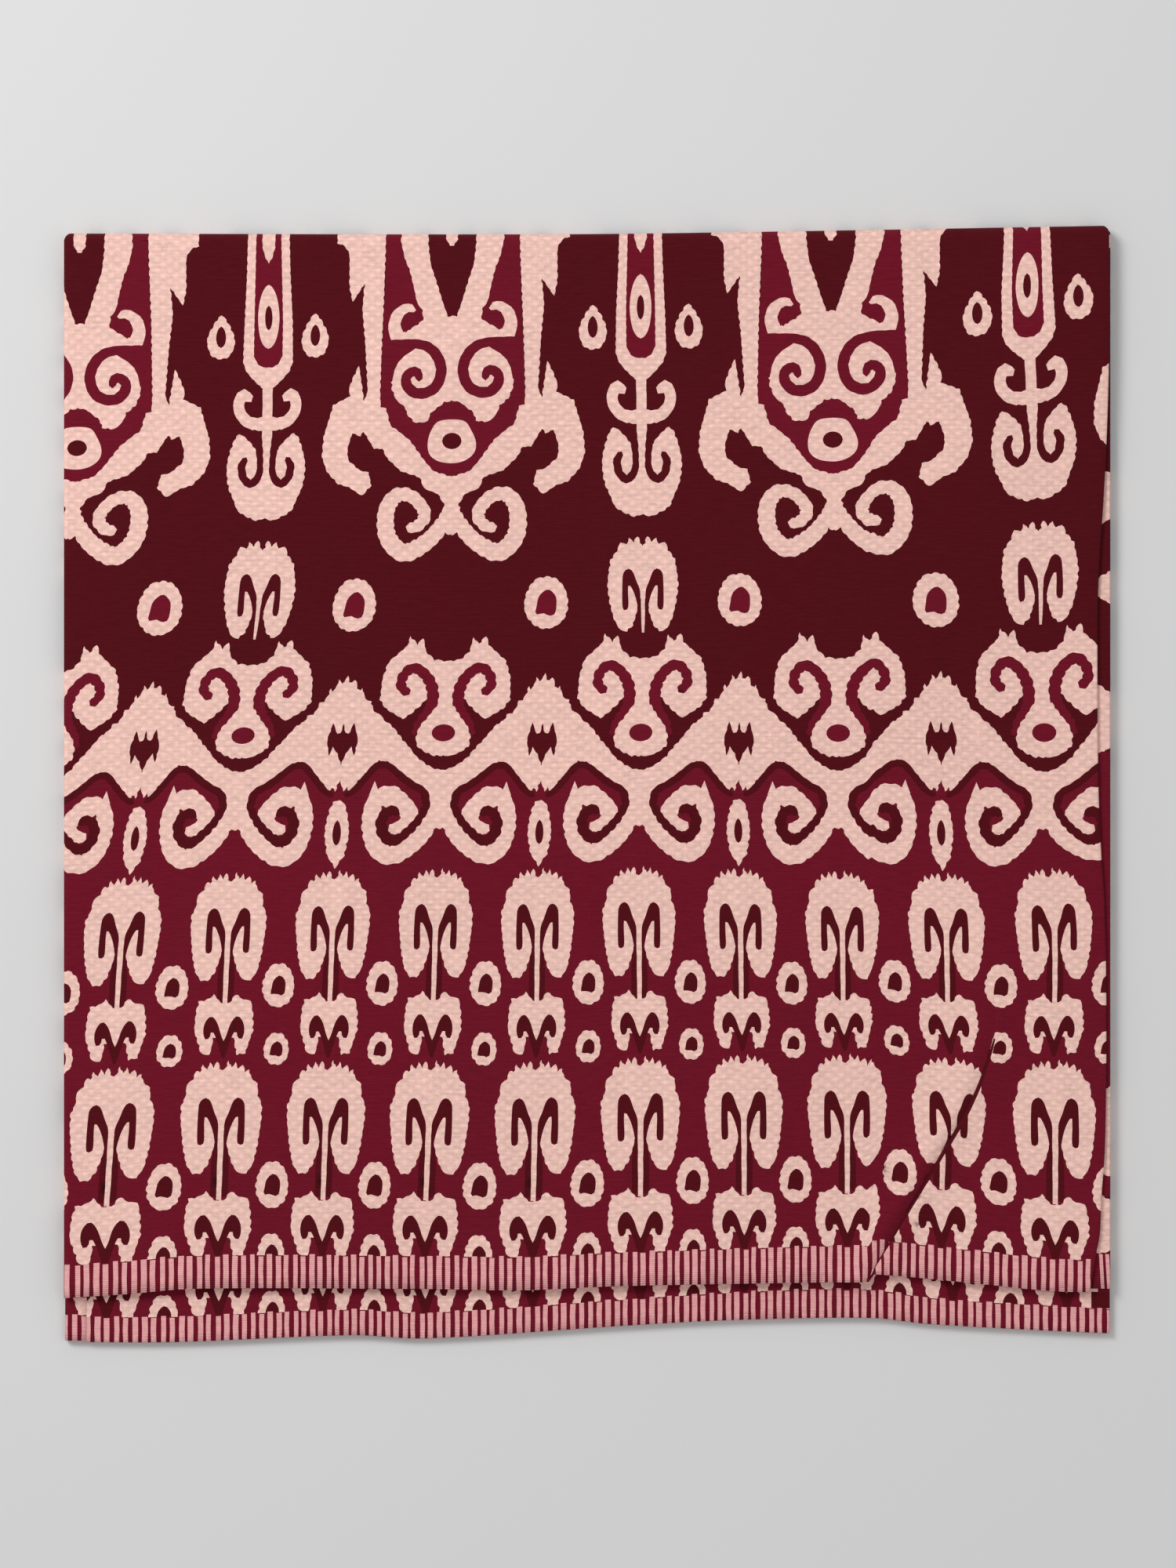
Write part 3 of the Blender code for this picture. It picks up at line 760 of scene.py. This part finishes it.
def lift(x, y):
    """How far the front cloth stands above its flat place."""
    tuck = level_mm(TUCK_HEIGHT, y) * level(TUCK_SECTION, (x - level_mm(TUCK_LINE, y)) / MM)
    to_edge = np.minimum(np.minimum(x - LEFT, RIGHT - x), level_mm(TOP_FOLD, x) - y)
    fade = np.clip(to_edge / WAVE_FADE, 0, 1)
    wave = np.sin(x / WAVE_ACROSS * 2 * math.pi + 0.6)
    wave += np.sin(y / WAVE_ALONG * 2 * math.pi + 1.9 + x / WAVE_ACROSS)
    height = tuck + WAVE_HEIGHT * fade * (1 + wave / 2) / 2
    for depth, width, line in CREASES:
        away = from_line(line, x / MM, y / MM) / width
        height -= depth * MM * np.exp(-away * away)
    return height


def fold_front(across, down):
    """Places on the laid-out cloth, in their places on the stack."""
    run = run_of(down)
    y = place(np.clip(across, LEFT, RIGHT), run, depth_of(0), front_hem)[:, 1]
    low, high = TUCK_FLANK
    hidden = level_mm(TUCK_HIDES, y)
    start = level_mm(TUCK_LINE, y) + low
    x = across - hidden * np.clip((across - start) / (high - low + hidden), 0, 1)
    y = place(x, run, depth_of(0), front_hem)[:, 1]
    turned_x, left_drop = turn_left(x, left_fold_start(y), LEFT_FOLD_RADIUS)
    turned_x, right_drop = turn_right(turned_x, side_fold_start(y))
    drop = left_drop + right_drop
    points = place(turned_x, run, depth_of(0) + drop, front_hem)
    points[:, 2] += np.where(drop > 0, 0, lift(x, y))
    return points


def left_columns(start, radius, downs):
    """Lines of points round a left fold: its start is in metres, and they are in millimetres."""
    return [np.stack([np.zeros(len(downs)) + (start - radius * angle) / MM, downs], 1)
            for angle in np.linspace(0, math.pi, 8)]


def right_columns(start, downs):
    """The same round a right fold."""
    return [np.stack([np.zeros(len(downs)) + (start + SIDE_FOLD_RADIUS * angle) / MM, downs], 1)
            for angle in np.linspace(0, math.pi, 7)]


def crest_lines(left, right):
    """Rows of points round the first quarter turn of the top fold."""
    across = np.linspace(left, right, 121)
    rows = [HALF_STACK / MM * (1 - math.sin(angle)) for angle in np.linspace(0, math.pi / 2, 7)[:-1]]
    return [np.stack([across, np.full(len(across), down)], 1) for down in rows]


def y_at(across, downs):
    """The level in Y of places down the front cloth, given in millimetres."""
    return place(across, run_of(downs * MM), depth_of(0), front_hem)[:, 1]


CREST_SPAN = (LEFT / MM - 14, RIGHT / MM + 20)


def front_lines():
    """Lines on the laid-out cloth, in millimetres, where the front cloth needs close columns or rows."""
    downs = np.linspace(0, CHART_LENGTH / MM, 150)
    right = y_at(RIGHT, downs)
    lines = left_columns(left_fold_start(y_at(LEFT, downs)), LEFT_FOLD_RADIUS, downs)
    lines += right_columns(side_fold_start(right) + level_mm(TUCK_HIDES, right), downs)
    downs = downs[downs > TUCK_LINES_START]
    y = y_at(TUCK_MIDDLE, downs)
    low, high = TUCK_FLANK
    crease = level(TUCK_LINE, y / MM)
    flank = (high - low + level_mm(TUCK_HIDES, y)) / MM
    for off in TUCK_LINES_BEFORE:
        lines.append(np.stack([crease + off, downs], 1))
    for share, off in TUCK_LINES_AFTER:
        lines.append(np.stack([crease + low / MM + flank * share + off, downs], 1))
    return lines + crest_lines(*CREST_SPAN)


def add(nodes, links, kind, settings=(), inputs=()):
    """Adds a node with its settings and its inputs, each a value or another node's output."""
    node = nodes.new(kind)
    for name, value in dict(settings).items():
        setattr(node, name, value)
    for name, value in dict(inputs).items():
        if isinstance(value, bpy.types.NodeSocket):
            links.new(value, node.inputs[name])
        else:
            node.inputs[name].default_value = value
    return node


def srgb(code):
    """A colour's hex code as linear red, green, blue and alpha."""
    shares = [int(code[k:k + 2], 16) / 255 for k in (0, 2, 4)]
    return tuple(s / 12.92 if s <= 0.04045 else ((s + 0.055) / 1.055) ** 2.4 for s in shares) + (1.0,)


# Matt cotton, yarn-dyed and figured in the loom. The pink is a small diamond dobby, the darks a plain rib.
PINK_YARN = "F4C8BC"
MAROON_YARN = "520A14"
CRIMSON_YARN = "6E1024"
STRIPE_YARN = "E9A7A7"
DIAMOND = (3.6 * MM, 3.0 * MM)
WARP_PITCH = 0.9 * MM
WEFT_PITCH = 1.1 * MM
WAVE_TURN = 0.1 * math.pi


def figured_cotton():
    cloth = bpy.data.materials.new("figured_cotton")
    cloth.use_nodes = True
    nodes, links = cloth.node_tree.nodes, cloth.node_tree.links
    shader = nodes["Principled BSDF"]
    threads = add(nodes, links, "ShaderNodeUVMap", {"uv_map": "threads"}).outputs["UV"]
    yarn = add(nodes, links, "ShaderNodeAttribute", {"attribute_name": "yarn"}).outputs["Fac"]
    # Dye: a flat colour for each yarn
    quarter = add(nodes, links, "ShaderNodeMath", {"operation": "DIVIDE"}, {0: yarn, 1: 4.0})
    dye = add(nodes, links, "ShaderNodeValToRGB", inputs={"Fac": quarter.outputs[0]})
    dye.color_ramp.interpolation = "CONSTANT"
    stops = dye.color_ramp.elements
    stops[0].color = srgb(PINK_YARN)
    stops[1].position = 0.125
    stops[1].color = srgb(MAROON_YARN)
    for at, colour in ((0.375, CRIMSON_YARN), (0.625, STRIPE_YARN)):
        stops.new(at).color = srgb(colour)
    # Weave: small diamonds in the pink, ribs along the weft in the darks. Drawn coarser than real, to show
    is_pink = add(nodes, links, "ShaderNodeMath", {"operation": "LESS_THAN"}, {0: yarn, 1: 0.5}).outputs[0]
    diamonds = 1.0
    for lean in (1, -1):
        cell = add(nodes, links, "ShaderNodeMapping", inputs={
            "Vector": threads, "Scale": (1 / DIAMOND[0], lean / DIAMOND[1], 1.0)})
        wave = add(nodes, links, "ShaderNodeTexWave", {"bands_direction": "DIAGONAL"}, {
            "Vector": cell.outputs["Vector"], "Scale": WAVE_TURN})
        diamonds = add(nodes, links, "ShaderNodeMath", {"operation": "MULTIPLY"}, {
            0: wave.outputs["Fac"], 1: diamonds}).outputs[0]
    warp = add(nodes, links, "ShaderNodeTexWave", {"bands_direction": "X"}, {
        "Vector": threads, "Scale": WAVE_TURN / WARP_PITCH})
    weft = add(nodes, links, "ShaderNodeTexWave", {"bands_direction": "Y"}, {
        "Vector": threads, "Scale": WAVE_TURN / WEFT_PITCH, "Distortion": 2.0, "Detail Scale": 0.5})
    weave = add(nodes, links, "ShaderNodeMix", inputs={
        "Factor": is_pink, "A": weft.outputs["Fac"], "B": diamonds}).outputs["Result"]
    raised = add(nodes, links, "ShaderNodeMath", {"operation": "MULTIPLY_ADD"}, {
        0: warp.outputs["Fac"], 1: 0.25, 2: weave})
    bump = add(nodes, links, "ShaderNodeBump", inputs={
        "Height": raised.outputs[0], "Distance": 0.15 * MM, "Strength": 0.8})
    links.new(bump.outputs["Normal"], shader.inputs["Normal"])
    # Shade: the weave's own, then uneven yarn, streaks along the weft and wide worn patches, each with its
    # stretch across, scale, detail and amount
    shade = add(nodes, links, "ShaderNodeMath", {"operation": "MULTIPLY_ADD"}, {
        0: weave, 1: 0.17, 2: 0.475}).outputs[0]
    for stretch, scale, detail, amount in (
        (1.0, 620.0, 1.0, 0.26),
        (0.15, 700.0, 2.0, 0.50),
        (1.0, 6.0, 2.0, 0.12),
    ):
        run = add(nodes, links, "ShaderNodeMapping", inputs={
            "Vector": threads, "Scale": (stretch, 1.0, 1.0)})
        noise = add(nodes, links, "ShaderNodeTexNoise", inputs={
            "Vector": run.outputs["Vector"], "Scale": scale, "Detail": detail})
        shade = add(nodes, links, "ShaderNodeMath", {"operation": "MULTIPLY_ADD"}, {
            0: noise.outputs["Fac"], 1: amount, 2: shade}).outputs[0]
    tone = add(nodes, links, "ShaderNodeHueSaturation", inputs={
        "Value": shade, "Color": dye.outputs["Color"]})
    links.new(tone.outputs["Color"], shader.inputs["Base Color"])
    shader.inputs["Roughness"].default_value = 0.88
    shader.inputs["IOR"].default_value = 1.45
    shader.inputs["Specular IOR Level"].default_value = 0.1
    shader.inputs["Sheen Weight"].default_value = 0.02
    shader.inputs["Sheen Roughness"].default_value = 0.6
    return cloth


COTTON = figured_cotton()


def finish_sheet(sheet, *nodes, slot):
    """Wall, cotton, body and replaced nodes of one cloth. Its slot is not used."""
    give_wall(sheet)
    sheet.data.materials.append(COTTON)
    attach(sheet, "root")
    if nodes:
        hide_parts(*nodes)


# Where the painted shade over the cloth inside the tuck starts, and the plain patch beside it, in
# millimetres on the cloth
TUCK_TOP = 447
TUCK_SIDE = ((163.9, 545.5), (175.5, 545.5), (175.5, 563.5), (163.9, 563.5))


def tuck_cover_and_painted_shade():
    """Plain crimson at the tuck's open side, where it covers a ring, and painted shade in maroon inside its
    crease.
    """
    downs = np.linspace(TUCK_TOP, CHART_LENGTH / MM, 50)
    y = y_at(TUCK_MIDDLE, downs)
    low, high = TUCK_FLANK
    start = level(TUCK_LINE, y / MM) + low / MM
    end = start + (high - low + level_mm(TUCK_HIDES, y)) / MM
    # The maroon over the cloth folded into the crease is painted shade: it makes the crease a dark line.
    crease = np.stack([np.append(start, end[::-1]), np.append(downs, downs[::-1])], 1)
    return [(CRIMSON, np.array(TUCK_SIDE)), (MAROON, crease)]


# Where the left fold has turned right round, on the laid-out cloth
LEFT_END = LEFT + LEFT_FOLD_RADIUS * (1 - math.pi) + WALL / 2
FRONT_PATCHES = [(yarn, to_cloth(outline)) for yarn, outline in PATCHES]
front_cloth = patterned_sheet(
    "front_cloth", FRONT_PATCHES + tuck_cover_and_painted_shade(), across=(LEFT_END - LEFT_RETURN, RIGHT + RIGHT_RETURN),
    down=(0.0, CHART_LENGTH), lines=front_lines(), spread=8.5, fold=fold_front,
)
finish_sheet(front_cloth, "front_layer", slot="front_cloth")


# Under cloth
# The same tube's cloth on the surface it lies on: from the top fold's crest down the back to the rear hem,
# with its left and right folds turned up. Its pattern mirrors the front's about the crest.

UNDER_FOLD_INSET = 0.8 * MM
UNDER_FOLD_START = RIGHT - UNDER_FOLD_INSET - SIDE_FOLD_RADIUS - WALL / 2
UNDER_RETURN = 9.65 * MM
UNDER_HEM_INSET = 0.7 * MM
# The rear hem's stripes are shorter than the front's
REAR_STRIPES = 42.5 * STEP
REAR_SHORTER = 9.5 * STEP
# The underside's pattern lies this far to the right, in millimetres, to run on into the rear strip
UNDER_SHIFT = 16.8
# How much longer the rear half is than the front one, from the top fold to its hem
REAR_HEM = (
    (-289.5, -309.1), (-228, -309.2), (-130, -305.4), (-90, -307.2), (20, -300.2), (79, -297.1),
    (157, -295.9), (189, -299.2), (255, -302.9), (289.5, -304.4),
)


def rear_hem(across):
    """The rear hem's level."""
    return level_mm(REAR_HEM, across)


def shortened(down):
    """Rows drawn towards the rear hem, so that its stripes come out shorter."""
    left = CHART_LENGTH - down
    return down + REAR_SHORTER * np.minimum(left / REAR_STRIPES, down / (CHART_LENGTH - REAR_STRIPES))


def fold_under(across, down):
    """The front's laid-out cloth, on the stack's underside."""
    run = 1 - run_of(shortened(down))
    y = place(np.clip(across, LEFT, RIGHT), run, depth_of(0), rear_hem)[:, 1]
    x, left_drop = turn_left(across, left_fold_start(y), LEFT_FOLD_RADIUS)
    x, right_drop = turn_right(x, UNDER_FOLD_START - corner_inset(RIGHT, y))
    return place(x, run, depth_of(0) + left_drop + right_drop, rear_hem, UNDER_HEM_INSET)


# Little is seen of the underside, so above its last motifs only every fourth place of an outline is kept
FINE_FROM = 515
FEW_PLACES = 24
COARSE_PATCHES = [
    (yarn, outline[::4] if len(outline) > FEW_PLACES and outline[:, 1].max() < FINE_FROM else outline)
    for yarn, outline in FRONT_PATCHES
]
under_downs = np.linspace(0, CHART_LENGTH / MM, 80)
under_cloth = patterned_sheet(
    "under_cloth", [(yarn, outline + (UNDER_SHIFT, 0)) for yarn, outline in COARSE_PATCHES],
    across=(LEFT_END - UNDER_RETURN, RIGHT + RIGHT_RETURN), down=(0.0, CHART_LENGTH),
    lines=left_columns(left_fold_start(0.0), LEFT_FOLD_RADIUS, under_downs)
    + right_columns(UNDER_FOLD_START, under_downs) + crest_lines(*CREST_SPAN),
    spread=9.0, fold=fold_under,
)
finish_sheet(under_cloth, "under_layer", slot="under_cloth")


# Second fold cloth
# The tube's other side fold, which shows as a narrow strip down the right margin. It runs from the front
# hem up over the top fold and down behind to the rear strip.

FOLD_WIDTH = 28 * MM
FOLD_TRIM = 2.5 * MM
FOLD_START = RIGHT - SIDE_FOLD_RADIUS - WALL / 2
FOLD_HEM_INSET = 1.8 * MM
STRIP_TOP = -1242 * STEP
FOLD_MIDDLE = 286
# What shows down the margin, from the top fold: a yarn, the rows it starts and ends at, and its slant
FOLD_BANDS = (
    (PINK, 10, 31, 6),
    (PINK, 310, 376, 9),
    (PINK, 442, 475, -8),
    (PINK, 587, 666, 10),
    (CRIMSON, 667, 1090, 0),
    (PINK, 1093, 1202, -6),
    (CRIMSON, 1202, 1230, 4),
    (PINK, 1230, 1301, 8),
    (CRIMSON, 1301, 1350, 0),
)
BAND_HALF = 14
# The striped edge, which leans here
FOLD_STRIPES = (-7, 1, 9)
FOLD_STRIPE_WIDTH = 4.5
FOLD_STRIPE_LEAN = 2.5


def fold_second(across, down):
    """The strip on both sides of the top fold, turned under at the right edge."""
    run = np.where(down >= 0, run_of(np.abs(down)), 1 - run_of(np.abs(down)))
    y = place(RIGHT, run, depth_of(2), front_hem)[:, 1]
    x, drop = turn_right(across, FOLD_START - corner_inset(RIGHT, y))
    return place(x, run, depth_of(2) + drop, front_hem, FOLD_HEM_INSET)


fold_patches = []
for yarn, start, end, slant in FOLD_BANDS:
    shape = walk([(-BAND_HALF, start - slant), (BAND_HALF, start + slant),
                  (BAND_HALF, end - slant), (-BAND_HALF, end + slant)])
    fold_patches.append((yarn, toothed(shape)))
for at in FOLD_STRIPES:
    far = at + FOLD_STRIPE_WIDTH
    stripe = [(at, STRIPES_START - 1), (far, STRIPES_START - 1),
              (far + FOLD_STRIPE_LEAN, STRIPES_END), (at + FOLD_STRIPE_LEAN, STRIPES_END)]
    fold_patches.append((STRIPE_PINK, np.array(stripe)))
fold_patches = [(yarn, outline * STEP / MM + (FOLD_MIDDLE, 0)) for yarn, outline in fold_patches]
fold_patches += [(yarn, outline * (1, -1)) for yarn, outline in fold_patches]
second_cloth = patterned_sheet(
    "second_fold_cloth", fold_patches, across=(RIGHT - FOLD_WIDTH, RIGHT + FOLD_WIDTH - FOLD_TRIM),
    down=(STRIP_TOP, CHART_LENGTH),
    lines=right_columns(FOLD_START, np.linspace(STRIP_TOP / MM, CHART_LENGTH / MM, 300))
    + crest_lines((RIGHT - FOLD_WIDTH) / MM, (RIGHT + FOLD_WIDTH) / MM),
    spread=5.0, fold=fold_second,
)
finish_sheet(second_cloth, "second_fold", slot="fold_cloth")


# Rear hem cloth
# The layer that shows between the two hems, with the rear half's striped edge. It runs up under the front
# cloth, and its right fold turns down under it.

REAR_OVERLAP = 45 * MM
REAR_LEFT = left_fold_start(0.0) + UNDER_RETURN
REAR_RIGHT_RETURN = 26 * MM
REAR_TOP = 1190 * STEP
# Its right end is dark, as places in millimetres on the laid-out cloth
DARK_END = ((279, 556), (300, 556), (300, 565), (279, 565))


def fold_rear(across, down):
    """The strip, flat under the front hem, with its end turned down."""
    x, drop = turn_right(across, FOLD_START)
    top = level_mm(FRONT_HEM_LEFT_OF_TUCK, x) + REAR_OVERLAP
    y = rear_hem(x) + CHART_LENGTH - shortened(down)
    return np.stack([x, np.minimum(y, top), depth_of(3) - drop], 1)


rear_cloth = patterned_sheet(
    "rear_hem_cloth", FRONT_PATCHES + [(MAROON, np.array(DARK_END, float))],
    across=(REAR_LEFT, RIGHT + REAR_RIGHT_RETURN), down=(REAR_TOP, CHART_LENGTH),
    lines=right_columns(FOLD_START, np.linspace(REAR_TOP / MM, CHART_LENGTH / MM, 24)),
    spread=5.0, fold=fold_rear,
)
finish_sheet(rear_cloth, "rear_hem_layer", slot="rear_cloth")


# Inner hems
# Edges of the hidden layers, each a little inside the hem that covers it. Only their striped edges show,
# so each is the cloth's last stretch. The second and third layers are one, turned round the left fold.

STACK = 2 * HALF_STACK
INNER_DEPTH = 40 * MM
INNER_TOP = CHART_LENGTH - INNER_DEPTH
INNER_RIGHT = RIGHT - 31 * MM
FRONT_INSETS = (0.9 * MM, 1.8 * MM, 1.2 * MM)
REAR_INSETS = (1.6 * MM, 1.6 * MM)
INNER_LEFT = LEFT + PITCH + PITCH / 2 + WALL / 2
INNER_END = 2 * INNER_LEFT - INNER_RIGHT


def fold_inner(first_layer, hem, insets, upper):
    """The fold of one or two hidden layers: past the left fold, the cloth runs back one layer deeper."""
    def fold(across, down):
        x, drop = turn_left(across, INNER_LEFT)
        depth = depth_of(first_layer) + drop
        inset = insets[0] + (insets[-1] - insets[0]) * drop / (2 * SIDE_FOLD_RADIUS)
        y = hem(x) + inset + CHART_LENGTH - down
        return np.stack([x, y, STACK - depth if upper else depth], 1)
    return fold


hem_patches = [(yarn, outline) for yarn, outline in COARSE_PATCHES if outline[:, 1].max() > INNER_TOP / MM]
hem_patches += [(yarn, outline * (-1, 1) + (2 * INNER_LEFT / MM, 0)) for yarn, outline in hem_patches]
round_fold = left_columns(INNER_LEFT, SIDE_FOLD_RADIUS, np.linspace(INNER_TOP / MM, CHART_LENGTH / MM, 6))
for name, first_layer, hem, insets, upper, left, lines in (
    ("inner_hem_upper", 1, front_hem, FRONT_INSETS[:2], True, INNER_END, round_fold),
    ("inner_hem_third", 3, front_hem, FRONT_INSETS[2:], True, REAR_LEFT, []),
    ("inner_hem_lower", 1, rear_hem, REAR_INSETS, False, INNER_END, round_fold),
):
    inner_hem = patterned_sheet(
        name, hem_patches, across=(left, INNER_RIGHT), down=(INNER_TOP, CHART_LENGTH),
        lines=lines, spread=8.0, fold=fold_inner(first_layer, hem, insets, upper),
    )
    finish_sheet(inner_hem, "inner_layers", slot="inner_cloth")


# Stage, light and camera
# A plain pale floor, a large soft light from the upper left, a weak one from the right, and the camera
# straight above.

VIEW_HEIGHT = 866 * MM
VIEW_MIDDLE = (0.4 * MM, -0.2 * MM)
CAMERA_HEIGHT = 2.4
SENSOR = 24.0

bpy.ops.mesh.primitive_plane_add(size=8, location=(0, 0, 0))
floor = bpy.context.object
floor.name = "floor"
pale = bpy.data.materials.new("pale_matt_floor")
pale.use_nodes = True
matt = pale.node_tree.nodes["Principled BSDF"]
matt.inputs["Base Color"].default_value = srgb("DCDCDC")
matt.inputs["Roughness"].default_value = 0.9
floor.data.materials.append(pale)

for light_name, spot, size, watts in (
    ("key_light", (-1.5, 1.3, 2.1), 1.1, 46),
    ("fill_light", (1.8, -0.6, 2.6), 2.4, 12),
):
    lamp = bpy.data.lights.new(light_name, "AREA")
    lamp.size = size
    lamp.energy = watts
    lamp_object = bpy.data.objects.new(light_name, lamp)
    lamp_object.location = spot
    lamp_object.rotation_euler = (-Vector(spot)).to_track_quat("-Z", "Y").to_euler()
    bpy.context.scene.collection.objects.link(lamp_object)

world = bpy.data.worlds.new("soft_room")
world.use_nodes = True
sky = world.node_tree.nodes["Background"]
sky.inputs["Color"].default_value = (1, 1, 1, 1)
sky.inputs["Strength"].default_value = 0.45
bpy.context.scene.world = world
bpy.context.scene.view_settings.view_transform = "Standard"

lens = bpy.data.cameras.new("camera")
lens.sensor_fit = "VERTICAL"
lens.sensor_height = SENSOR
lens.lens = SENSOR * (CAMERA_HEIGHT - STACK) / VIEW_HEIGHT
camera = bpy.data.objects.new("camera", lens)
camera.location = (*VIEW_MIDDLE, CAMERA_HEIGHT)
bpy.context.scene.collection.objects.link(camera)
bpy.context.scene.camera = camera
